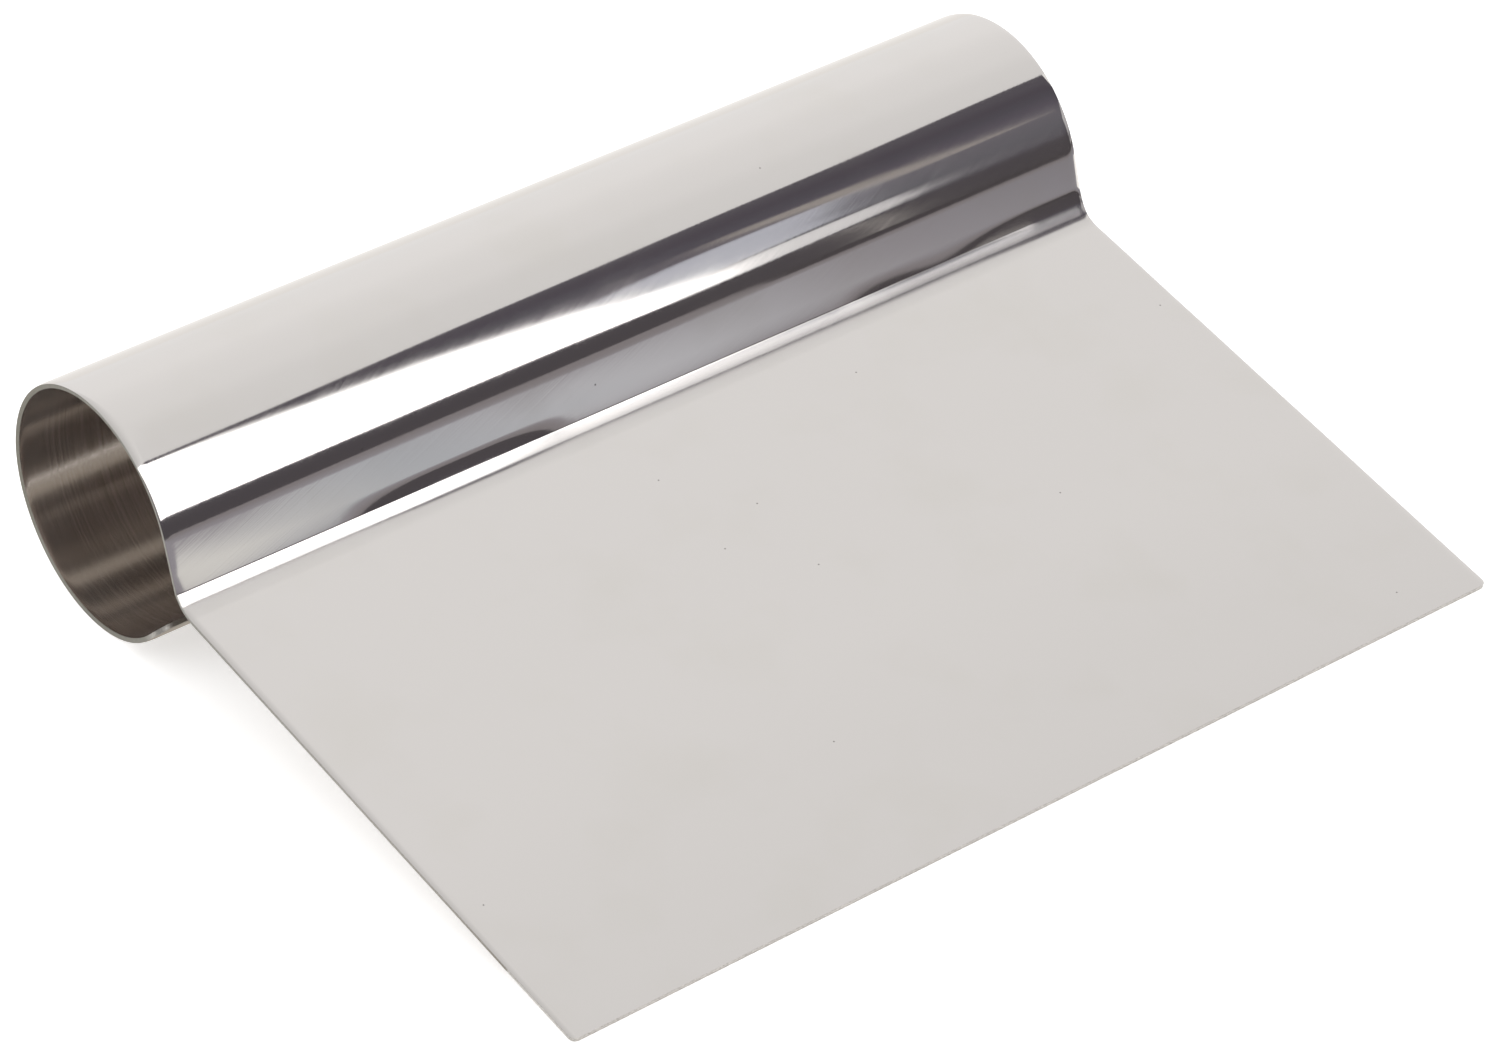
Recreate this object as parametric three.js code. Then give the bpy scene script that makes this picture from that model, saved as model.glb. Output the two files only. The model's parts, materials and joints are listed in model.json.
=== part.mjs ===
// Dough scraper bent from one stainless steel sheet: a flat blade, a root bend and an open rolled handle.
// Millimetres, +Z up, X along the handle, the scraping edge towards -Y.
// It lies as on a table, on the underside of the handle and on the scraping edge.
import * as THREE from "three";

// Driving dimensions
const SHEET_THICKNESS = 0.65;
const SHEET_WIDTH = 150; // along the handle
const BLADE_LENGTH = 79.6; // the flat stretch, from the root bend to the scraping edge
const CORNER_RADIUS = 1; // the two corners of the scraping edge
const ROOT_RADIUS = 4.5; // upper side of the bend where it leaves the blade
const ROOT_TURN = 52; // degrees that the sheet turns on that radius
const EASE_RADIUS = 13; // upper side of the wider bend that follows, up to the riser
const RISER_SLOPE = 62.5; // degrees, of the short straight run that climbs on into the roll
const HANDLE_DIAMETER = 35.3; // outside
const HANDLE_DROP = 0.36; // the handle's axis lies this far below the blade's upper face
const LIP_ANGLE = 65; // degrees that the roll goes past its lowest line, back towards the blade

// Facets along each arc
const HANDLE_FACETS = 96;
const ROOT_FACETS = 16;
const CORNER_FACETS = 6;
const FACETS_PER_SEGMENT = 2; // a circular arc is drawn with two facets for each curve segment

// The section is drawn with x to the back and y up. Its origin is above or on the handle's axis,
// level with the blade's upper face.
const handleRadius = HANDLE_DIAMETER / 2;
const boreRadius = handleRadius - SHEET_THICKNESS;
const handleAxis = new THREE.Vector2(0, -HANDLE_DROP);

// The root bend leaves the blade on its tight radius, eases, and climbs straight into the handle's circle.
// An angle is that of the upper face's normal, which a bend's own axis sees from the other side.
const easeAngle = Math.PI / 2 + THREE.MathUtils.degToRad(ROOT_TURN);
const rollAngle = Math.PI / 2 + THREE.MathUtils.degToRad(RISER_SLOPE);
const rollStart = pointAt(rollAngle, handleRadius).add(handleAxis);
const rollStartBelow = pointAt(rollAngle, boreRadius).add(handleAxis);
const easeOffset = pointAt(easeAngle, EASE_RADIUS - ROOT_RADIUS); // from the tight bend's axis
const riserStart = new THREE.Vector2(0, ROOT_RADIUS).add(easeOffset).sub(pointAt(rollAngle, EASE_RADIUS));
const riserRun = (rollStart.y - riserStart.y) / Math.tan(rollAngle - Math.PI / 2);
const rootReach = riserStart.x + riserRun - rollStart.x;
const rootAxis = new THREE.Vector2(-rootReach, ROOT_RADIUS);
const easeAxis = rootAxis.clone().add(easeOffset);
const lipAngle = -Math.PI / 2 - THREE.MathUtils.degToRad(LIP_ANGLE);
const edgeReach = rootReach + BLADE_LENGTH;

// The tilt brings the lower corner of the scraping edge level with the lowest line of the handle.
const edgeToAxis = new THREE.Vector2(edgeReach, SHEET_THICKNESS - HANDLE_DROP);
const tilt = Math.asin(handleRadius / edgeToAxis.length()) - edgeToAxis.angle();
const origin = new THREE.Vector2();
const restingAxis = handleAxis.clone().rotateAround(origin, tilt);
const restingEdge = new THREE.Vector2(-edgeReach, 0).rotateAround(origin, tilt);

function pointAt(angle, radius) {
  return new THREE.Vector2(Math.cos(angle), Math.sin(angle)).multiplyScalar(radius);
}

function polishedSteel(color, roughness) {
  return new THREE.MeshStandardMaterial({ color, roughness, metalness: 1 });
}

// Section of a stretch of sheet that follows one bend after the other: out along the upper face,
// straight on to the end points if there are any, and back along the lower face.
function bentSection(bends, clockwise, endPoints = []) {
  const section = new THREE.Shape();
  for (const { axis, upper, from, to } of bends) {
    section.absarc(axis.x, axis.y, upper, from, to, clockwise);
  }
  for (const { x, y } of endPoints) {
    section.lineTo(x, y);
  }
  for (const { axis, lower, from, to } of bends.toReversed()) {
    section.absarc(axis.x, axis.y, lower, to, from, !clockwise);
  }
  section.closePath();
  return section;
}

// A section run along the whole width of the sheet, turned to lie across the handle.
function bentSheet(name, section, facets, material) {
  const geometry = new THREE.ExtrudeGeometry(section, {
    depth: SHEET_WIDTH,
    curveSegments: facets / FACETS_PER_SEGMENT,
    bevelEnabled: false,
  });
  geometry.translate(0, 0, -SHEET_WIDTH / 2);
  const mesh = new THREE.Mesh(geometry, material);
  mesh.name = name;
  mesh.rotation.set(Math.PI / 2, Math.PI / 2, 0);
  return mesh;
}

function makeBlade() {
  const halfWidth = SHEET_WIDTH / 2;
  const cornerX = halfWidth - CORNER_RADIUS;
  const cornerY = CORNER_RADIUS - edgeReach;
  const plan = new THREE.Shape();
  plan.moveTo(halfWidth, -rootReach);
  plan.lineTo(-halfWidth, -rootReach);
  plan.absarc(-cornerX, cornerY, CORNER_RADIUS, Math.PI, 1.5 * Math.PI);
  plan.absarc(cornerX, cornerY, CORNER_RADIUS, 1.5 * Math.PI, 2 * Math.PI);
  plan.closePath();
  const geometry = new THREE.ExtrudeGeometry(plan, {
    depth: SHEET_THICKNESS,
    curveSegments: CORNER_FACETS / FACETS_PER_SEGMENT,
    bevelEnabled: false,
  });
  const blade = new THREE.Mesh(geometry, polishedSteel("#cfcbc6", 0.12));
  blade.name = "blade";
  blade.position.z = -SHEET_THICKNESS;
  return blade;
}

function makeRootBend() {
  const tight = {
    axis: rootAxis,
    upper: ROOT_RADIUS,
    lower: ROOT_RADIUS + SHEET_THICKNESS,
    from: -Math.PI / 2,
    to: easeAngle - Math.PI,
  };
  const ease = {
    axis: easeAxis,
    upper: EASE_RADIUS,
    lower: EASE_RADIUS + SHEET_THICKNESS,
    from: easeAngle - Math.PI,
    to: rollAngle - Math.PI,
  };
  const section = bentSection([tight, ease], false, [rollStart, rollStartBelow]);
  return bentSheet("root_bend", section, ROOT_FACETS, polishedSteel("#c6c3c0", 0.1));
}

function makeHandleRoll() {
  const roll = {
    axis: handleAxis,
    upper: handleRadius,
    lower: boreRadius,
    from: rollAngle,
    to: lipAngle,
  };
  const section = bentSection([roll], true);
  return bentSheet("handle_roll", section, HANDLE_FACETS, polishedSteel("#c9c6c3", 0.1));
}

// The three stretches of the sheet meet face to face along the lines where the bends start.
const scraper = new THREE.Group();
scraper.add(makeBlade(), makeRootBend(), makeHandleRoll());
scraper.rotation.x = tilt;
scraper.position.y = -(restingEdge.x + restingAxis.x + handleRadius) / 2;
scraper.position.z = handleRadius - restingAxis.y;

const part = new THREE.Group();
part.add(scraper);

export default part;
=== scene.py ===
import json
import math

import bpy
from mathutils import Matrix, Vector


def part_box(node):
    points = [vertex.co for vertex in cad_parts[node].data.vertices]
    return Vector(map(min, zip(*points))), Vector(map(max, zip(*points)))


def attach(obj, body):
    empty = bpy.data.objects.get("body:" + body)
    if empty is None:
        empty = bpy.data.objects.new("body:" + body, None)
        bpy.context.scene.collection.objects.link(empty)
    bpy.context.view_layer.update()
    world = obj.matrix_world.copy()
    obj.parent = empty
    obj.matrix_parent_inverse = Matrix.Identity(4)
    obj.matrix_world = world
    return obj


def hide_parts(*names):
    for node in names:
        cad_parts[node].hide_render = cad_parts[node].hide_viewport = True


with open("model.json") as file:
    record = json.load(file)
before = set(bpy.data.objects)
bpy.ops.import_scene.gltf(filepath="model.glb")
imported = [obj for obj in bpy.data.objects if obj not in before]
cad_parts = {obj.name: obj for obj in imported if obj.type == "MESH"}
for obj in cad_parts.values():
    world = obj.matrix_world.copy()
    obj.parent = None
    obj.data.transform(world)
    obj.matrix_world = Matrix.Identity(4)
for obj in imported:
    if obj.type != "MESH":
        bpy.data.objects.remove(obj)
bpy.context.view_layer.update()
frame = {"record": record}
scene = bpy.context.scene
mm = 0.001


def linear(hexColour):
    values = [int(hexColour[i:i + 2], 16) / 255 for i in (1, 3, 5)]
    return [v / 12.92 if v <= 0.04045 else ((v + 0.055) / 1.055) ** 2.4 for v in values] + [1.0]


def addNode(tree, kind, feeds=None, out=0, **settings):
    node = tree.nodes.new(kind)
    for name, value in settings.items():
        setattr(node, name, value)
    for socket, value in (feeds or {}).items():
        if isinstance(value, bpy.types.NodeSocket):
            tree.links.new(value, node.inputs[socket])
        else:
            node.inputs[socket].default_value = value
    return node.outputs[out] if node.outputs else None


def newMaterial(name):
    material = bpy.data.materials.new(name)
    material.use_nodes = True
    material.node_tree.nodes.clear()
    return material, material.node_tree


def addObject(name, mesh):
    made = bpy.data.objects.new(name, mesh)
    scene.collection.objects.link(made)
    return made


def settled(made, name):
    mesh = bpy.data.meshes.new_from_object(made.evaluated_get(bpy.context.evaluated_depsgraph_get()))
    mesh.name = name
    bpy.data.objects.remove(made)
    return mesh


# Camera: where the photograph was taken from

shot = dict(
    aim=(-2.044, -0.905, 9.0),
    distance=779.2,
    azimuth=-39.838,
    elevation=36.67,
    roll=2.062,  # the right side of the picture is tipped up
    lens=144.76,
    sensor=36.0,
)


def makeCamera():
    data = bpy.data.cameras.new("shot_camera")
    data.lens = shot["lens"]
    data.sensor_width = shot["sensor"]
    camera = addObject("shot_camera", data)
    turn, rise = math.radians(shot["azimuth"]), math.radians(shot["elevation"])
    back = Vector((math.sin(turn) * math.cos(rise), -math.cos(turn) * math.cos(rise), math.sin(rise)))
    place = Matrix.Translation((Vector(shot["aim"]) + back * shot["distance"]) * mm)
    aimed = back.to_track_quat("Z", "Y").to_matrix().to_4x4()
    camera.matrix_world = place @ aimed @ Matrix.Rotation(math.radians(shot["roll"]), 4, "Z")
    scene.camera = camera
    return camera


camera = makeCamera()
print("camera placed at", [round(v / mm, 1) for v in camera.matrix_world.translation], "mm")


# Sheet: where the frame says that it lies

mounts = {mount["name"]: mount for mount in frame["record"]["mounts"]}
bladeTop = Vector(mounts["blade_top"]["pos_m"])
bladeNormal = Vector(mounts["blade_top"]["axis"])
bladeAlong = Vector((0, bladeNormal.z, -bladeNormal.y))  # from the scraping edge to the root
bladeTilt = math.atan2(bladeAlong.z, bladeAlong.y)
thickness = (bladeTop - Vector(mounts["blade_underside"]["pos_m"])).length
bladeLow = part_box("blade")[0]
rollLow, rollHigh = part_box("handle_roll")
width = rollHigh.x - rollLow.x
rollRadius = (rollHigh.z - rollLow.z) / 2
rollAxis = Vector((0, rollHigh.y - rollRadius, rollLow.z + rollRadius))
bladeLength = 2 * (bladeTop.y - bladeLow.y) / bladeAlong.y
frontEdge = bladeTop - bladeAlong * bladeLength / 2

sheet = dict(
    bends=dict(  # radius of the upper face and turn, from the blade up to the straight riser
        Root=(5.0, 27.0),
        Fold=(1.5, 10.0),  # the press has left a crease
        Flare=(5.7, 15.0),
        Ease=(13.0, 10.5),
    ),
    lipTurn=65.0,  # how far the roll goes past its lowest line
    cornerRadius=1.0,  # at the scraping edge
    lipCornerRadius=2.5,
    edgeRound=0.16,  # deburred edges
    edgeSteps=3,
    edgeAngle=60.0,  # a sharper turn than this is an edge
    stepAngle=2.0,  # of one row round a bend
    easeRows=28,
    riserRow=0.3,  # length of one row on a straight stretch
    bladeRow=2.0,
    column=1.25,
    crowding=0.4,  # draws the columns out to the sides
    cornerRows=6,
    waveHeight=0.12,  # how far the faces stray from true
    waveAcross=70.0,
    waveAlong=24.0,
    waveSeed=7.3,
    sagDepth=0.12,  # buffing has worn the faces down towards the sides
    sagReach=1.0,
    creaseDepth=0.2,  # the press has left the foot of the riser sharper in some places than in others
    creaseLength=60.0,
    creaseSeed=301.25,
    creaseFrom=0.38,  # the noise over which it goes from open to creased
    creaseTo=0.52,
)
riserSlope = math.radians(sum(turn for _, turn in sheet["bends"].values()))


def riserLength():
    slope, bendsRise = 0.0, 0.0
    for radius, turn in sheet["bends"].values():
        start, slope = slope, slope + math.radians(turn)
        bendsRise += radius * mm * (math.cos(start) - math.cos(slope))
    drop = (bladeTop - rollAxis).dot(bladeNormal)  # of the roll's axis under the blade's upper face
    return (rollRadius * math.cos(slope) - drop - bendsRise) / math.sin(slope)


def bentSheetTree(stretches, curls):
    tree = bpy.data.node_groups.new("bent sheet", "GeometryNodeTree")
    tree.interface.new_socket("Geometry", in_out="OUTPUT", socket_type="NodeSocketGeometry")
    kinds = {
        "NodeSocketFloat": [
            "Width", "Flat Length", "Corner Radius", "Tilt", "Riser Length", "Lip Corner Radius", "Crowding",
            "Wave Height", "Wave Across", "Wave Along", "Wave Seed", "Sag Depth", "Sag Reach",
            "Crease Depth", "Crease Length", "Crease Seed", "Crease From", "Crease To",
        ] + [name + part for name in curls for part in (" Radius", " Turn")],
        "NodeSocketInt": ["Columns"] + [name + " End Row" for name in stretches],
        "NodeSocketVector": ["Front Edge"],
        "NodeSocketMaterial": ["Face"],
    }
    for kind, names in kinds.items():
        for name in names:
            tree.interface.new_socket(name, in_out="INPUT", socket_type=kind)
    size = tree.nodes.new("NodeGroupInput").outputs

    # A flat blank on which Y only counts rows.
    # Every stretch of the sheet knows how far a row is through it.
    rows = size[stretches[-1] + " End Row"]
    blank = addNode(tree, "GeometryNodeMeshGrid", {
        "Size X": size["Width"],
        "Size Y": rows,
        "Vertices X": addNode(tree, "ShaderNodeMath", {0: size["Columns"], 1: 1.0}, operation="ADD"),
        "Vertices Y": addNode(tree, "ShaderNodeMath", {0: rows, 1: 1.0}, operation="ADD"),
    })
    place = addNode(tree, "GeometryNodeInputPosition")
    across = addNode(tree, "ShaderNodeSeparateXYZ", {0: place}, out="X")
    row = addNode(tree, "ShaderNodeSeparateXYZ", {0: place}, out="Y")
    row = addNode(tree, "ShaderNodeMath", {0: rows, 1: 0.5, 2: row}, operation="MULTIPLY_ADD")
    through, firstRow = {}, 0.0
    for name in stretches:
        lastRow = size[name + " End Row"]
        feeds = {"Value": row, "From Min": firstRow, "From Max": lastRow}
        through[name] = addNode(tree, "ShaderNodeMapRange", feeds)
        firstRow = lastRow

    # Round corners: rows near the scraping edge and the lip follow a quarter turn,
    # and the blank narrows there.
    inset = 0.0
    for name, runs, narrows, radius in (
        ("Corner", "COSINE", "SINE", size["Corner Radius"]),
        ("Lip", "SINE", "COSINE", size["Lip Corner Radius"]),
    ):
        turn = addNode(tree, "ShaderNodeMath", {0: through[name], 1: math.pi / 2}, operation="MULTIPLY")
        through[name] = addNode(tree, "ShaderNodeMath", {0: turn}, operation=runs)
        kept = addNode(tree, "ShaderNodeMath", {0: turn}, operation=narrows)
        lost = addNode(tree, "ShaderNodeMath", {0: 1.0, 1: kept}, operation="SUBTRACT")
        inset = addNode(tree, "ShaderNodeMath", {0: lost, 1: radius, 2: inset}, operation="MULTIPLY_ADD")
    feeds = {0: 1.0, 1: through["Corner"]}
    through["Corner"] = addNode(tree, "ShaderNodeMath", feeds, operation="SUBTRACT")

    # Columns crowd towards the sides, where the faces sag.
    half = addNode(tree, "ShaderNodeMath", {0: size["Width"], 1: 0.5}, operation="MULTIPLY")
    side = addNode(tree, "ShaderNodeMath", {0: across, 1: half}, operation="DIVIDE")
    crowd = addNode(tree, "ShaderNodeMath", {0: side, 1: 2.0}, operation="POWER")
    crowd = addNode(tree, "ShaderNodeMath", {0: 1.0, 1: crowd}, operation="SUBTRACT")
    crowd = addNode(tree, "ShaderNodeMath", {0: crowd, 1: size["Crowding"], 2: 1.0}, operation="MULTIPLY_ADD")
    side = addNode(tree, "ShaderNodeMath", {0: side, 1: crowd}, operation="MULTIPLY")
    reach = addNode(tree, "ShaderNodeMath", {0: half, 1: inset}, operation="SUBTRACT")
    x = addNode(tree, "ShaderNodeMath", {0: side, 1: reach}, operation="MULTIPLY")
    place = addNode(tree, "ShaderNodeCombineXYZ", {"X": x})

    # A straight stretch runs on the way the sheet is heading. A bend swings its arm round.
    heading, run = 0.0, 0.0
    lengths = {"Corner": size["Corner Radius"], "Blade": size["Flat Length"], "Riser": size["Riser Length"]}
    runs = {}
    for name in stretches:
        if name not in curls:
            length = lengths[name]
            step = addNode(tree, "ShaderNodeMath", {0: length, 1: through[name]}, operation="MULTIPLY")
            feeds = {"Vector": addNode(tree, "ShaderNodeCombineXYZ", {"Y": step}), "Angle": heading}
            step = addNode(tree, "ShaderNodeVectorRotate", feeds, rotation_type="X_AXIS")
        else:
            radius, turn = size[name + " Radius"], size[name + " Turn"]
            length = addNode(tree, "ShaderNodeMath", {0: radius, 1: turn}, operation="MULTIPLY")
            arm = addNode(tree, "ShaderNodeMath", {0: radius, 1: -curls[name]}, operation="MULTIPLY")
            feeds = {"Vector": addNode(tree, "ShaderNodeCombineXYZ", {"Z": arm}), "Angle": heading}
            arm = addNode(tree, "ShaderNodeVectorRotate", feeds, rotation_type="X_AXIS")
            turn = addNode(tree, "ShaderNodeMath", {0: turn, 1: curls[name]}, operation="MULTIPLY")
            swing = addNode(tree, "ShaderNodeMath", {0: turn, 1: through[name]}, operation="MULTIPLY")
            feeds = {"Vector": arm, "Angle": swing}
            swung = addNode(tree, "ShaderNodeVectorRotate", feeds, rotation_type="X_AXIS")
            step = addNode(tree, "ShaderNodeVectorMath", {0: swung, 1: arm}, operation="SUBTRACT")
            heading = addNode(tree, "ShaderNodeMath", {0: heading, 1: turn}, operation="ADD")
            lengths[name] = length
        place = addNode(tree, "ShaderNodeVectorMath", {0: place, 1: step}, operation="ADD")
        feeds = {0: length, 1: through[name], 2: run}
        run = addNode(tree, "ShaderNodeMath", feeds, operation="MULTIPLY_ADD")
        runs[name] = run

    # How far a point is through the root, and how near it is to the foot of the riser
    inRoot = addNode(tree, "ShaderNodeMath", {0: runs["Flare"], 1: runs["Blade"]}, operation="SUBTRACT")
    rootLength = 0.0
    for name in ("Root", "Fold", "Flare"):
        rootLength = addNode(tree, "ShaderNodeMath", {0: rootLength, 1: lengths[name]}, operation="ADD")
    inRoot = addNode(tree, "ShaderNodeMath", {0: inRoot, 1: rootLength}, operation="DIVIDE")
    past = addNode(tree, "ShaderNodeMath", {0: 1.0, 1: through["Ease"]}, operation="SUBTRACT")
    foot = addNode(tree, "ShaderNodeMath", {0: inRoot, 1: past}, operation="MULTIPLY")
    foot = addNode(tree, "ShaderNodeMath", {0: foot, 1: 2.0}, operation="POWER")
    off = addNode(tree, "ShaderNodeMath", {0: inRoot, 1: 2.0, 2: -1.0}, operation="MULTIPLY_ADD")
    off = addNode(tree, "ShaderNodeMath", {0: off}, operation="ABSOLUTE")
    inside = addNode(tree, "ShaderNodeMath", {0: 1.0, 1: off}, operation="SUBTRACT")

    # How sharp the press has left the foot there
    along = addNode(tree, "ShaderNodeMath", {0: x, 1: size["Crease Length"]}, operation="DIVIDE")
    along = addNode(tree, "ShaderNodeMath", {0: along, 1: size["Crease Seed"]}, operation="ADD")
    feeds = {"W": along, "Scale": 1.0, "Detail": 0.0}
    sharp = addNode(tree, "ShaderNodeTexNoise", feeds, noise_dimensions="1D")
    sharp = addNode(tree, "ShaderNodeMapRange", {
        "Value": sharp,
        "From Min": size["Crease From"],
        "From Max": size["Crease To"],
    })

    # These and the place on the flat blank stay with every point.
    laid = addNode(tree, "GeometryNodeStoreNamedAttribute", {
        "Geometry": blank,
        "Name": "blank",
        "Value": addNode(tree, "ShaderNodeCombineXYZ", {"X": x, "Y": run}),
    }, data_type="FLOAT_VECTOR", domain="POINT")
    for name, value in (("root", inside), ("foot", foot), ("sharp", sharp)):
        feeds = {"Geometry": laid, "Name": name, "Value": value}
        laid = addNode(tree, "GeometryNodeStoreNamedAttribute", feeds, data_type="FLOAT", domain="POINT")
    laid = addNode(tree, "GeometryNodeSetPosition", {"Geometry": laid, "Position": place})
    laid = addNode(tree, "GeometryNodeTransform", {
        "Geometry": laid,
        "Translation": size["Front Edge"],
        "Rotation": addNode(tree, "ShaderNodeCombineXYZ", {"X": size["Tilt"]}),
    })

    # Rolling, pressing and buffing leave the faces a hair off true, which shows in what they mirror.
    onBlank = addNode(tree, "GeometryNodeInputNamedAttribute", {"Name": "blank"}, data_type="FLOAT_VECTOR")
    feeds = {"X": size["Wave Across"], "Y": size["Wave Along"], "Z": 1.0}
    wave = addNode(tree, "ShaderNodeCombineXYZ", feeds)
    wave = addNode(tree, "ShaderNodeVectorMath", {0: onBlank, 1: wave}, operation="DIVIDE")
    feeds = {"Vector": wave, "W": size["Wave Seed"], "Scale": 1.0, "Detail": 1.0}
    wave = addNode(tree, "ShaderNodeTexNoise", feeds, noise_dimensions="4D")
    wave = addNode(tree, "ShaderNodeMath", {0: wave, 1: 2.0, 2: -1.0}, operation="MULTIPLY_ADD")
    wave = addNode(tree, "ShaderNodeMath", {0: wave, 1: size["Wave Height"]}, operation="MULTIPLY")
    x = addNode(tree, "ShaderNodeSeparateXYZ", {0: onBlank}, out="X")
    out = addNode(tree, "ShaderNodeMath", {0: x}, operation="ABSOLUTE")
    flat = addNode(tree, "ShaderNodeMath", {0: half, 1: size["Sag Reach"]}, operation="SUBTRACT")
    sag = addNode(tree, "ShaderNodeMapRange", {"Value": out, "From Min": flat, "From Max": half})
    sag = addNode(tree, "ShaderNodeMath", {0: sag, 1: 2.0}, operation="POWER")
    sag = addNode(tree, "ShaderNodeMath", {0: sag, 1: size["Sag Depth"]}, operation="MULTIPLY")
    crease = addNode(tree, "GeometryNodeInputNamedAttribute", {"Name": "foot"}, data_type="FLOAT")
    sharp = addNode(tree, "GeometryNodeInputNamedAttribute", {"Name": "sharp"}, data_type="FLOAT")
    crease = addNode(tree, "ShaderNodeMath", {0: crease, 1: sharp}, operation="MULTIPLY")
    crease = addNode(tree, "ShaderNodeMath", {0: crease, 1: size["Crease Depth"]}, operation="MULTIPLY")
    lift = addNode(tree, "ShaderNodeMath", {0: wave, 1: crease}, operation="SUBTRACT")
    lift = addNode(tree, "ShaderNodeMath", {0: lift, 1: sag}, operation="SUBTRACT")
    normal = addNode(tree, "GeometryNodeInputNormal")
    offset = addNode(tree, "ShaderNodeVectorMath", {0: normal, "Scale": lift}, operation="SCALE")
    laid = addNode(tree, "GeometryNodeSetPosition", {"Geometry": laid, "Offset": offset})

    laid = addNode(tree, "GeometryNodeSetShadeSmooth", {"Geometry": laid})
    laid = addNode(tree, "GeometryNodeRealizeInstances", {"Geometry": laid})
    laid = addNode(tree, "GeometryNodeSetMaterial", {"Geometry": laid, "Material": size["Face"]})
    addNode(tree, "NodeGroupOutput", {"Geometry": laid})
    return tree


def makeSheet(face, back, edge):
    bends = {name: (radius * mm, math.radians(turn)) for name, (radius, turn) in sheet["bends"].items()}
    lipTurn = sheet["lipCornerRadius"] * mm / rollRadius  # the stretch that the lip's round corners take
    bends["Roll"] = rollRadius, riserSlope + math.radians(180 + sheet["lipTurn"]) - lipTurn
    bends["Lip"] = rollRadius, lipTurn
    curls = {name: -1 if name in ("Roll", "Lip") else 1 for name in bends}
    step = math.radians(sheet["stepAngle"])
    flatLength = bladeLength - sheet["cornerRadius"] * mm
    rows = {
        "Corner": sheet["cornerRows"],
        "Blade": round(flatLength / (sheet["bladeRow"] * mm)),
        "Root": math.ceil(bends["Root"][1] / step),
        "Fold": math.ceil(bends["Fold"][1] / step),
        "Flare": math.ceil(bends["Flare"][1] / step),
        "Ease": sheet["easeRows"],
        "Riser": math.ceil(riserLength() / (sheet["riserRow"] * mm)),
        "Roll": math.ceil(bends["Roll"][1] / step),
        "Lip": sheet["cornerRows"],
    }
    values = {
        "Width": width,
        "Flat Length": flatLength,
        "Corner Radius": sheet["cornerRadius"] * mm,
        "Tilt": bladeTilt,
        "Front Edge": frontEdge,
        "Riser Length": riserLength(),
        "Lip Corner Radius": sheet["lipCornerRadius"] * mm,
        "Crowding": sheet["crowding"],
        "Wave Height": sheet["waveHeight"] * mm,
        "Wave Across": sheet["waveAcross"] * mm,
        "Wave Along": sheet["waveAlong"] * mm,
        "Wave Seed": sheet["waveSeed"],
        "Sag Depth": sheet["sagDepth"] * mm,
        "Sag Reach": sheet["sagReach"] * mm,
        "Crease Depth": sheet["creaseDepth"] * mm,
        "Crease Length": sheet["creaseLength"] * mm,
        "Crease Seed": sheet["creaseSeed"],
        "Crease From": sheet["creaseFrom"],
        "Crease To": sheet["creaseTo"],
        "Columns": round(width / (sheet["column"] * mm)),
        "Face": face,
    }
    for name, (radius, turn) in bends.items():
        values[name + " Radius"], values[name + " Turn"] = radius, turn
    endRow = 0
    for name, count in rows.items():
        endRow += count
        values[name + " End Row"] = endRow
    blank = addObject("sheet_blank", bpy.data.meshes.new("sheet_blank"))
    bend = blank.modifiers.new("bend", "NODES")
    bend.node_group = bentSheetTree(list(rows), curls)
    for socket in bend.node_group.interface.items_tree:
        if socket.in_out == "INPUT":
            bend[socket.identifier] = values[socket.name]
    skin = settled(blank, "sheet_skin")
    skin.materials.clear()
    for material in (face, back, edge):
        skin.materials.append(material)

    bent = addObject("sheet_skin", skin)
    wall = bent.modifiers.new("wall", "SOLIDIFY")
    wall.thickness = thickness
    wall.offset = -1
    wall.use_even_offset = True
    wall.material_offset = 1  # the back
    wall.material_offset_rim = 2  # the edge
    deburr = bent.modifiers.new("deburr", "BEVEL")
    deburr.limit_method = "ANGLE"
    deburr.angle_limit = math.radians(sheet["edgeAngle"])
    deburr.width = sheet["edgeRound"] * mm
    deburr.segments = sheet["edgeSteps"]
    deburr.material = 2  # the edge
    deburr.harden_normals = True
    piece = addObject("scraper_sheet", settled(bent, "scraper_sheet"))
    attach(piece, "root")
    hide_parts("blade", "root_bend", "handle_roll")
    return piece


# Most of what a noise texture gives lies in this span.
noiseLow, noiseHigh = 0.3, 0.7


# Outer face: stainless steel, mirror polished on a buffing wheel.
# The eye sees a slightly hazy mirror. Fine buffing lines sweep from the length of the handle round over its
# top and fray the edges of what it mirrors, handling has left faint dull clouds, and a pinhole shows here
# and there.

polish = dict(
    bright="#d0ccc9",
    dull="#cecac6",
    smooth=0.05,
    hazy=0.075,
    rootHaze=0.18,  # the press has dulled the root, most of all where it has creased it
    openHaze=0.11,
    rootBlend=0.3,  # the share of either half of the root over which that comes in
    buffWidth=0.45,  # really about 0.01 mm, drawn coarse to show
    buffLength=26.0,
    buffSquare=129.0,  # distance from the scraping edge at which the lines run square to the handle
    buffSweep=16.0,  # the lines curve round on this radius there
    buffDepth=0.0008,
    cloudSize=16.0,
    cloudFrom=0.5,  # the noise over which a cloud thickens
    cloudTo=0.72,
    cloudHaze=0.03,
    pinholeSpacing=9.0,
    pinholeShare=0.06,
    pinholeRadius=0.16,
    pinholeDepth=0.006,
    pinhole="#4c4844",
)


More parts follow.
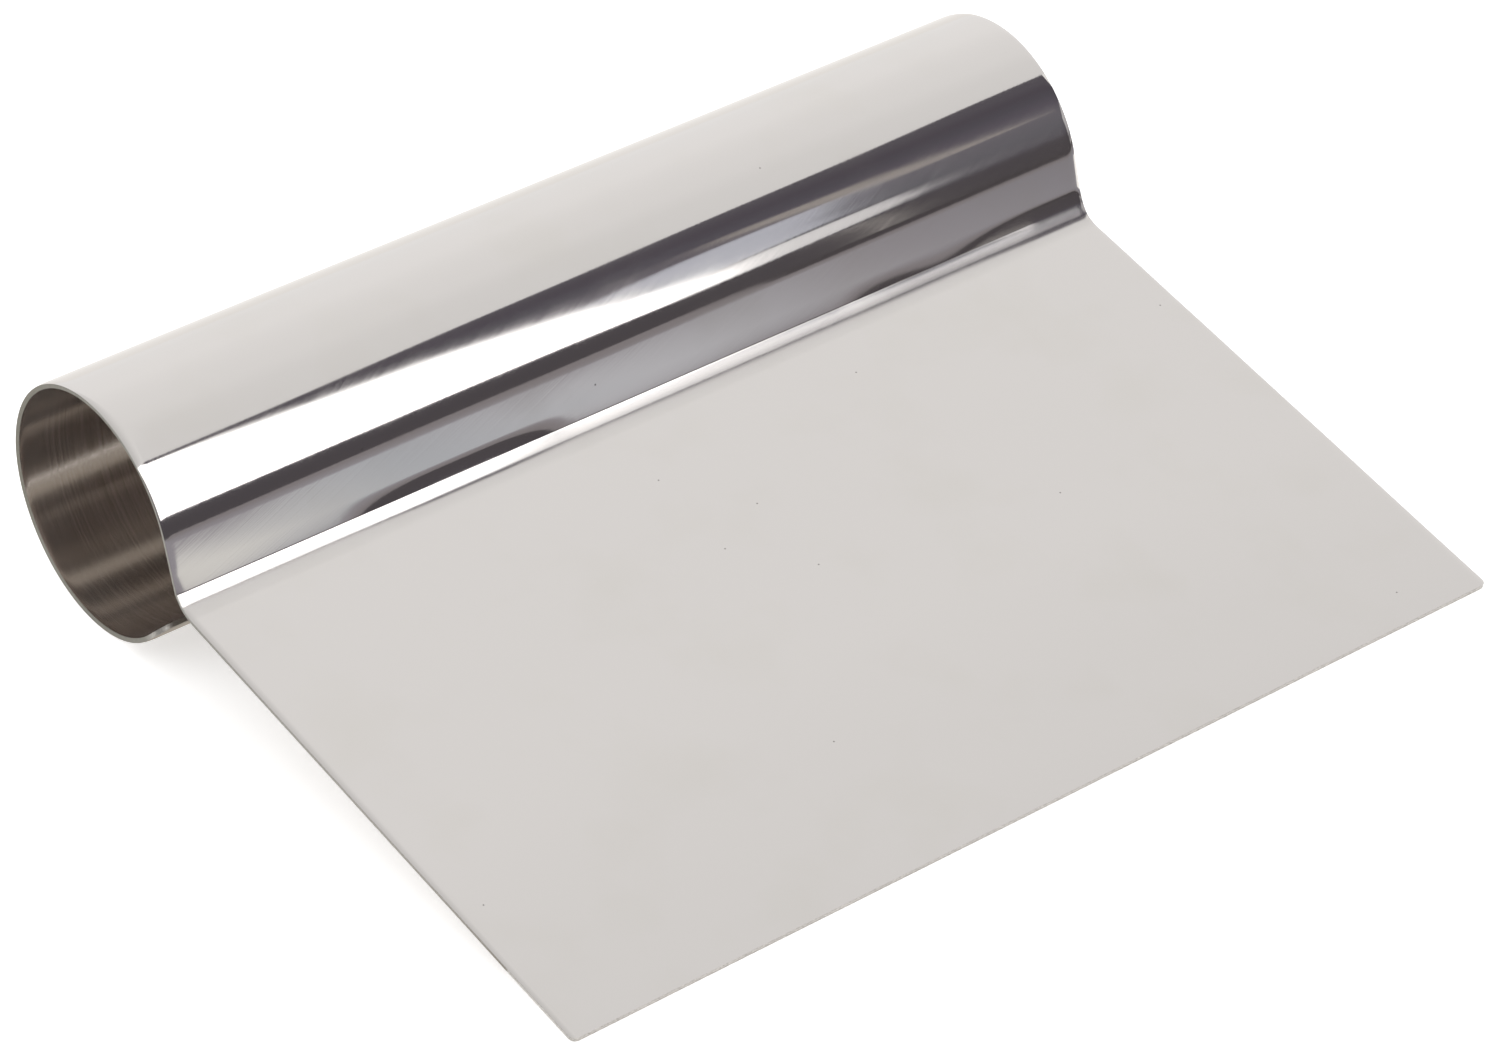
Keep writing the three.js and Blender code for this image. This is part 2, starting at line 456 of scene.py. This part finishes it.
def polishedSteel():
    material, tree = newMaterial("stainless steel, mirror polished")
    blank = addNode(tree, "ShaderNodeAttribute", out="Vector", attribute_name="blank")
    x = addNode(tree, "ShaderNodeSeparateXYZ", {0: blank}, out="X")
    run = addNode(tree, "ShaderNodeSeparateXYZ", {0: blank}, out="Y")
    sweep = addNode(tree, "ShaderNodeMath", {0: run, 1: polish["buffSquare"] * mm}, operation="SUBTRACT")
    sweep = addNode(tree, "ShaderNodeMath", {0: sweep, 1: 2.0}, operation="POWER")
    bow = 0.5 / (polish["buffSweep"] * mm)
    sweep = addNode(tree, "ShaderNodeMath", {0: sweep, 1: bow, 2: x}, operation="MULTIPLY_ADD")
    lined = addNode(tree, "ShaderNodeMapping", {
        "Vector": addNode(tree, "ShaderNodeCombineXYZ", {"X": sweep, "Y": run}),
        "Scale": (polish["buffWidth"] * mm, polish["buffLength"] * mm, 1.0),
    }, vector_type="TEXTURE")
    buffed = addNode(tree, "ShaderNodeTexNoise", {"Vector": lined, "Scale": 1.0, "Detail": 2.0})
    scale = 1 / (polish["cloudSize"] * mm)
    clouds = addNode(tree, "ShaderNodeTexNoise", {"Vector": blank, "Scale": scale, "Detail": 3.0})
    clouds = addNode(tree, "ShaderNodeMapRange", {
        "Value": clouds,
        "From Min": polish["cloudFrom"],
        "From Max": polish["cloudTo"],
    })
    rough = addNode(tree, "ShaderNodeMapRange", {
        "Value": buffed,
        "From Min": noiseLow,
        "From Max": noiseHigh,
        "To Min": polish["smooth"],
        "To Max": polish["hazy"],
    })
    feeds = {0: clouds, 1: polish["cloudHaze"], 2: rough}
    rough = addNode(tree, "ShaderNodeMath", feeds, operation="MULTIPLY_ADD")
    root = addNode(tree, "ShaderNodeAttribute", out="Fac", attribute_name="root")
    root = addNode(tree, "ShaderNodeMapRange", {"Value": root, "From Max": polish["rootBlend"]})
    haze = addNode(tree, "ShaderNodeMapRange", {
        "Value": addNode(tree, "ShaderNodeAttribute", out="Fac", attribute_name="sharp"),
        "To Min": polish["openHaze"],
        "To Max": polish["rootHaze"],
    })
    rough = addNode(tree, "ShaderNodeMath", {0: root, 1: haze, 2: rough}, operation="MULTIPLY_ADD")

    spread = {"Vector": blank, "Scale": 1 / (polish["pinholeSpacing"] * mm)}
    far = addNode(tree, "ShaderNodeTexVoronoi", spread, out="Distance", voronoi_dimensions="2D")
    pick = addNode(tree, "ShaderNodeTexVoronoi", spread, out="Color", voronoi_dimensions="2D")
    pick = addNode(tree, "ShaderNodeSeparateColor", {0: pick}, out="Red")
    pick = addNode(tree, "ShaderNodeMath", {0: pick, 1: polish["pinholeShare"]}, operation="LESS_THAN")
    hole = addNode(tree, "ShaderNodeMapRange", {
        "Value": far,
        "From Max": polish["pinholeRadius"] / polish["pinholeSpacing"],
        "To Min": 1.0,
        "To Max": 0.0,
    })
    hole = addNode(tree, "ShaderNodeMath", {0: hole, 1: pick}, operation="MULTIPLY")
    height = addNode(tree, "ShaderNodeMath", {0: buffed, 1: polish["buffDepth"]}, operation="MULTIPLY")
    feeds = {0: hole, 1: -polish["pinholeDepth"], 2: height}
    height = addNode(tree, "ShaderNodeMath", feeds, operation="MULTIPLY_ADD")
    metal = addNode(tree, "ShaderNodeMix", {
        "Factor": clouds,
        "A": linear(polish["bright"]),
        "B": linear(polish["dull"]),
    }, out="Result", data_type="RGBA")
    shader = addNode(tree, "ShaderNodeBsdfPrincipled", {
        "Base Color": addNode(tree, "ShaderNodeMix", {
            "Factor": hole,
            "A": metal,
            "B": linear(polish["pinhole"]),
        }, out="Result", data_type="RGBA"),
        "Metallic": 1.0,
        "Roughness": rough,
        "Normal": addNode(tree, "ShaderNodeBump", {"Height": height, "Distance": mm, "Strength": 1.0}),
    })
    addNode(tree, "ShaderNodeOutputMaterial", {"Surface": shader})
    return material


# Inner face: stainless steel with the mill's own finish, cold rolled and not polished.
# The eye sees a satin sheen with faint rolling lines that run round the roll. It is duller and browner
# than the outer face, most of all where light is thrown to and fro inside the roll.

mill = dict(
    bright="#dcd7d4",
    stained="#d6d0cc",
    smooth=0.11,
    dull=0.2,
    lineWidth=0.3,  # really about 0.02 mm, drawn coarse to show
    lineLength=40.0,
    lineDepth=0.0007,
    stainSize=9.0,
    stainFrom=0.4,  # the noise over which a stain thickens
    stainTo=0.7,
    bare=0.98,  # a dry film lifts the darkest parts, and stains thicken it
    filmed=0.94,
)


def millSteel():
    material, tree = newMaterial("stainless steel, mill finish")
    blank = addNode(tree, "ShaderNodeAttribute", out="Vector", attribute_name="blank")
    lined = addNode(tree, "ShaderNodeMapping", {
        "Vector": blank,
        "Scale": (mill["lineWidth"] * mm, mill["lineLength"] * mm, 1.0),
    }, vector_type="TEXTURE")
    lines = addNode(tree, "ShaderNodeTexNoise", {"Vector": lined, "Scale": 1.0, "Detail": 3.0})
    scale = 1 / (mill["stainSize"] * mm)
    stains = addNode(tree, "ShaderNodeTexNoise", {"Vector": blank, "Scale": scale, "Detail": 4.0})
    stains = addNode(tree, "ShaderNodeMapRange", {
        "Value": stains,
        "From Min": mill["stainFrom"],
        "From Max": mill["stainTo"],
    })
    shader = addNode(tree, "ShaderNodeBsdfPrincipled", {
        "Base Color": addNode(tree, "ShaderNodeMix", {
            "Factor": stains,
            "A": linear(mill["bright"]),
            "B": linear(mill["stained"]),
        }, out="Result", data_type="RGBA"),
        "Metallic": addNode(tree, "ShaderNodeMapRange", {
            "Value": stains,
            "To Min": mill["bare"],
            "To Max": mill["filmed"],
        }),
        "Roughness": addNode(tree, "ShaderNodeMapRange", {
            "Value": lines,
            "From Min": noiseLow,
            "From Max": noiseHigh,
            "To Min": mill["smooth"],
            "To Max": mill["dull"],
        }),
        "Normal": addNode(tree, "ShaderNodeBump", {
            "Height": lines,
            "Distance": mill["lineDepth"] * mm,
            "Strength": 1.0,
        }),
    })
    addNode(tree, "ShaderNodeOutputMaterial", {"Surface": shader})
    return material


# Cut edge: stainless steel, sheared and then deburred on an abrasive belt.
# The eye sees a thin satin line with a fine grit in it. From the scraping edge towards the rim of the roll it
# is painted darker and browner than the faces, a painted shade where it borders the shaded inside of the
# roll.

cutEdge = dict(
    bright="#c2beb9",
    dark="#9f9b96",
    # painted shade: the cut edge darkens towards the rim of the roll, where it borders the shaded inside of
    # the roll
    rimShade="#77756c",
    rimShading=0.9,
    rimShadeFrom=100.0,  # distance from the scraping edge, over the sheet
    lipFrom=181.0,
    lipTo=184.0,
    lipRimShading=0.2,  # the share of it that the lip keeps
    smooth=0.3,
    dull=0.48,
    gritSize=0.25,  # really about 0.05 mm, drawn coarse to show
    gritDepth=0.004,
)


def deburredSteel():
    material, tree = newMaterial("stainless steel, deburred edge")
    place = addNode(tree, "ShaderNodeTexCoord", out="Object")
    scale = 1 / (cutEdge["gritSize"] * mm)
    grit = addNode(tree, "ShaderNodeTexNoise", {"Vector": place, "Scale": scale, "Detail": 2.0})
    grit = addNode(tree, "ShaderNodeMapRange", {"Value": grit, "From Min": noiseLow, "From Max": noiseHigh})
    metal = addNode(tree, "ShaderNodeMix", {
        "Factor": grit,
        "A": linear(cutEdge["dark"]),
        "B": linear(cutEdge["bright"]),
    }, out="Result", data_type="RGBA")
    run = addNode(tree, "ShaderNodeAttribute", out="Vector", attribute_name="blank")
    run = addNode(tree, "ShaderNodeSeparateXYZ", {0: run}, out="Y")
    # painted shade, growing from the scraping edge towards the roll's rim, with less of it on the lip
    rimShade = addNode(tree, "ShaderNodeMapRange", {
        "Value": run,
        "From Max": cutEdge["rimShadeFrom"] * mm,
        "To Max": cutEdge["rimShading"],
    })
    beforeLip = addNode(tree, "ShaderNodeMapRange", {
        "Value": run,
        "From Min": cutEdge["lipFrom"] * mm,
        "From Max": cutEdge["lipTo"] * mm,
        "To Min": 1.0,
        "To Max": cutEdge["lipRimShading"],
    })
    shader = addNode(tree, "ShaderNodeBsdfPrincipled", {
        "Base Color": addNode(tree, "ShaderNodeMix", {
            "Factor": addNode(tree, "ShaderNodeMath", {0: rimShade, 1: beforeLip}, operation="MULTIPLY"),
            "A": metal,
            "B": linear(cutEdge["rimShade"]),
        }, out="Result", data_type="RGBA"),
        "Metallic": 1.0,
        "Roughness": addNode(tree, "ShaderNodeMapRange", {
            "Value": grit,
            "To Min": cutEdge["dull"],
            "To Max": cutEdge["smooth"],
        }),
        "Normal": addNode(tree, "ShaderNodeBump", {
            "Height": grit,
            "Distance": cutEdge["gritDepth"] * mm,
            "Strength": 1.0,
        }),
    })
    addNode(tree, "ShaderNodeOutputMaterial", {"Surface": shader})
    return material


scraper = makeSheet(polishedSteel(), millSteel(), deburredSteel())
print("sheet bent:", len(scraper.data.polygons), "faces,", len(scraper.data.materials), "finishes")


# Studio: a white table, an overhead diffuser, and the cards that the polish mirrors.
# Only what is mirrored shows the cards: they light nothing and throw no shadow.

table = dict(
    side=40000.0,
    colour="#f4f4f4",
    glow=0.5,  # lit from below, so that shadows stay faint
)

sky = dict(
    colour="#ffffff",
    strength=1.16,
    bounces=24,  # light goes to and fro inside the roll
)

diffuser = dict(
    height=225.0,
    halfWidth=9000.0,
    front=-68.5,  # of its front edge, over the middle
    frontSlope=0.18,  # the front edge runs aslant
    frontReach=1200.0,
    back=12000.0,
    light=1.15,
    shade=((-17.0, "#ededed"), (50.0, "#f0f0f0"), (75.0, "#f5f5f5"), (127.0, "#f7f7f7"), (284.0, "#fefefe"),
           (1000.0, "#fbfbfb"), (12000.0, "#f8f8f8")),
    sideTo=20.0,  # left of this it falls off
    sideFront=(-300.0, -70.0),  # of the front edge there, at its two ends
    sideDrop=1.0,  # how far that part hangs under the rest
    sideShade=((-420.0, "#a6a6a6"), (-240.0, "#bababa"), (-100.0, "#c8c8c8"), (20.0, "#f4f4f4")),
)

# Outlines on the dark backdrop are across and up, in parts of its distance.
backdrop = dict(
    distance=3000.0,
    reach=4.0,
    behind=1.05,  # it stands this far back, and the outlines in front of it
    shade=((0.0, "#5a565a"), (0.24, "#5b575c"), (0.32, "#67646c"), (0.5, "#737279"), (0.82, "#7b7880"),
           (1.1, "#6a6570"), (1.45, "#605d66"), (1.85, "#5d5861"), (2.4, "#66626a")),
    softboxColour="#ffffff",
    softboxLight=3.0,
    softboxes=(
        ("softbox",
         ((0.08, 0.289), (0.6, 0.285), (0.64, 0.245), (0.668, 0.4), (0.7, 0.63), (0.78, 0.95),
          (0.863, 1.25), (0.978, 1.7), (1.04, 1.91), (0.08, 1.91))),
        ("softbox_left", ((-0.95, 0.295), (-0.35, 0.295), (-0.35, 1.91), (-1.5, 1.91))),
    ),
    glints=(
        ("softbox_side", "#fafafc",
         ((0.64, 0.245), (0.705, 0.28), (0.728, 0.34), (0.742, 0.44), (0.69, 0.46), (0.668, 0.4))),
        ("far_window", "#d4d8e4",
         ((0.68, 0.46), (0.735, 0.5), (0.775, 0.64), (0.835, 0.79), (0.88, 0.9), (0.85, 0.98),
          (0.77, 0.86), (0.7, 0.6))),
        ("far_wall", "#b4aeaa", ((0.87, 0.78), (0.92, 0.8), (0.98, 1.08), (0.965, 1.22), (0.9, 1.05))),
        ("lamp_stand", "#cecac6", ((0.672, 0.0), (0.68, 0.0), (0.688, 0.24), (0.68, 0.24))),
    ),
)

# The polish mirrors the table as grey in front, where it falls into the shade, and as pale behind.
shaded = dict(
    height=0.5,
    near=-61.0,
    falls=-178.0,  # beyond this the shade is deep
    far=-3000.0,
    nearShade=((14.0, "#fbfbf8"), (30.0, "#e1e3e5"), (58.0, "#ccd2d9"), (90.0, "#dadce2"),
               (158.0, "#adabb1"), (200.0, "#9d9ba3")),
    farShade=((20.0, "#a9a6ae"), (200.0, "#9a9598")),
    behind=62.0,
    behindFar=12000.0,
    behindShade="#fffdfa",
    behindLight=1.07,
    edge="#555154",  # on the right the table ends sooner
    edgeOutline=((212.0, -280.0), (1870.0, -3000.0), (12000.0, -3000.0), (1200.0, -280.0)),
    under="#b0a99e",  # the blade and the roll keep the light off
    underOutline=((-76.0, -45.0), (75.0, -45.0), (75.0, 34.5), (-76.0, 34.5)),
)

# Low walls that the two ends of the sheet face
walls = dict(
    reach=2500.0,
    sides=(
        ("wall_left", -3000.0, ((0.0, "#dcdcdc"), (60.0, "#b4b3b5"), (224.0, "#67656a"))),
        ("wall_right", 3000.0,
         ((0.0, "#d6d5d6"), (180.0, "#a3a1a5"), (330.0, "#7f7d83"), (460.0, "#c4c3c6"), (1400.0, "#dedee0"))),
    ),
)


def rectangle(left, right, low, high):
    return (left, low), (right, low), (right, high), (left, high)


def polygonObject(name, corners, material):
    mesh = bpy.data.meshes.new(name)
    mesh.from_pydata([Vector(corner) * mm for corner in corners], [], [list(range(len(corners)))])
    mesh.materials.append(material)
    made = addObject(name, mesh)
    return made


def mirrorCard(name, corners, material):
    card = polygonObject(name, corners, material)
    card.visible_camera = False
    card.visible_diffuse = False
    card.visible_shadow = False


def glowing(name, colour, strength=1.0):
    material, tree = newMaterial(name)
    light = addNode(tree, "ShaderNodeEmission", {"Color": linear(colour), "Strength": strength})
    addNode(tree, "ShaderNodeOutputMaterial", {"Surface": light})
    return material


def shadedCard(name, axis, stops, strength=1.0):
    material, tree = newMaterial(name)
    place = addNode(tree, "ShaderNodeTexCoord", out="Object")
    place = addNode(tree, "ShaderNodeSeparateXYZ", {0: place}, out=axis)
    first, last = stops[0][0], stops[-1][0]
    feeds = {"Value": place, "From Min": first * mm, "From Max": last * mm}
    place = addNode(tree, "ShaderNodeMapRange", feeds)
    shade = addNode(tree, "ShaderNodeValToRGB", {0: place})
    ramp = shade.node.color_ramp
    while len(ramp.elements) < len(stops):
        ramp.elements.new(0.5)
    for element, (at, colour) in zip(ramp.elements, stops):
        element.position = (at - first) / (last - first)
        element.color = linear(colour)
    light = addNode(tree, "ShaderNodeEmission", {"Color": shade, "Strength": strength})
    addNode(tree, "ShaderNodeOutputMaterial", {"Surface": light})
    return material


def makeTable():
    material, tree = newMaterial("white table")
    paint = addNode(tree, "ShaderNodeBsdfPrincipled", {
        "Base Color": linear(table["colour"]),
        "Roughness": 1.0,
        "Specular IOR Level": 0.0,
        "Emission Color": linear(table["colour"]),
        "Emission Strength": table["glow"],
    })
    addNode(tree, "ShaderNodeOutputMaterial", {"Surface": paint})
    half = table["side"] / 2
    polygonObject("floor", [(x, y, 0) for x, y in rectangle(-half, half, -half, half)], material)


def makeSky():
    scene.view_settings.view_transform = "Standard"
    scene.cycles.max_bounces = sky["bounces"]
    scene.cycles.glossy_bounces = sky["bounces"]
    world = bpy.data.worlds.new("studio")
    world.use_nodes = True
    world.node_tree.nodes.clear()
    light = addNode(world.node_tree, "ShaderNodeBackground", {
        "Color": linear(sky["colour"]),
        "Strength": sky["strength"],
    })
    addNode(world.node_tree, "ShaderNodeOutputWorld", {"Surface": light})
    scene.world = world


def makeCards():
    wide, high, back = diffuser["halfWidth"], diffuser["height"], diffuser["back"]
    slant = diffuser["frontReach"]
    front = [(x, diffuser["front"] + diffuser["frontSlope"] * x, high) for x in (-slant, slant)]
    light = shadedCard("overhead diffuser", "Y", diffuser["shade"], diffuser["light"])
    mirrorCard("overhead_diffuser", front + [(wide, back, high), (-wide, back, high)], light)
    corners = [(x, back, z) for x, z in rectangle(-wide, wide, 0, high)]
    mirrorCard("wall_behind", corners, glowing("wall behind", diffuser["shade"][-1][1], diffuser["light"]))
    side = diffuser["sideTo"]
    frontLeft, frontRight = diffuser["sideFront"]
    outline = (-wide, frontLeft), (side, frontRight), (side, back), (-wide, back)
    light = shadedCard("diffuser side", "X", diffuser["sideShade"], diffuser["light"])
    mirrorCard("diffuser_side", [(x, y, high - diffuser["sideDrop"]) for x, y in outline], light)

    far = backdrop["distance"]
    reach, behind = backdrop["reach"] * far, -backdrop["behind"] * far
    shade = shadedCard("dark room", "Z", [(at * far, colour) for at, colour in backdrop["shade"]])
    mirrorCard("backdrop", [(x, behind, z) for x, z in rectangle(-reach, reach, 0, reach)], shade)
    light = glowing("softbox", backdrop["softboxColour"], backdrop["softboxLight"])
    for name, outline in backdrop["softboxes"]:
        mirrorCard(name, [(x * far, -far, z * far) for x, z in outline], light)
    for name, colour, outline in backdrop["glints"]:
        mirrorCard(name, [(x * far, -far, z * far) for x, z in outline], glowing(name, colour))

    up = shaded["height"]
    strips = (
        ("table_near", shaded["near"], shaded["falls"],
         shadedCard("table in the shade", "X", shaded["nearShade"])),
        ("table_far", shaded["falls"], shaded["far"],
         shadedCard("table in deep shade", "X", shaded["farShade"])),
        ("table_behind", shaded["behind"], shaded["behindFar"],
         glowing("table behind", shaded["behindShade"], shaded["behindLight"])),
    )
    for name, start, end, material in strips:
        mirrorCard(name, [(x, y, up) for x, y in rectangle(-reach, reach, start, end)], material)
    for name in ("edge", "under"):
        corners = [(x, y, 2 * up) for x, y in shaded[name + "Outline"]]  # laid over the strips
        mirrorCard("table_" + name, corners, glowing("table " + name, shaded[name]))

    reach = walls["reach"]
    for name, place, shade in walls["sides"]:
        top = shade[-1][0]
        corners = [(place, y, z) for y, z in rectangle(-reach, reach, 0, top)]
        mirrorCard(name, corners, shadedCard(name.replace("_", " "), "Z", shade))


makeTable()
makeSky()
makeCards()
print("studio lit")
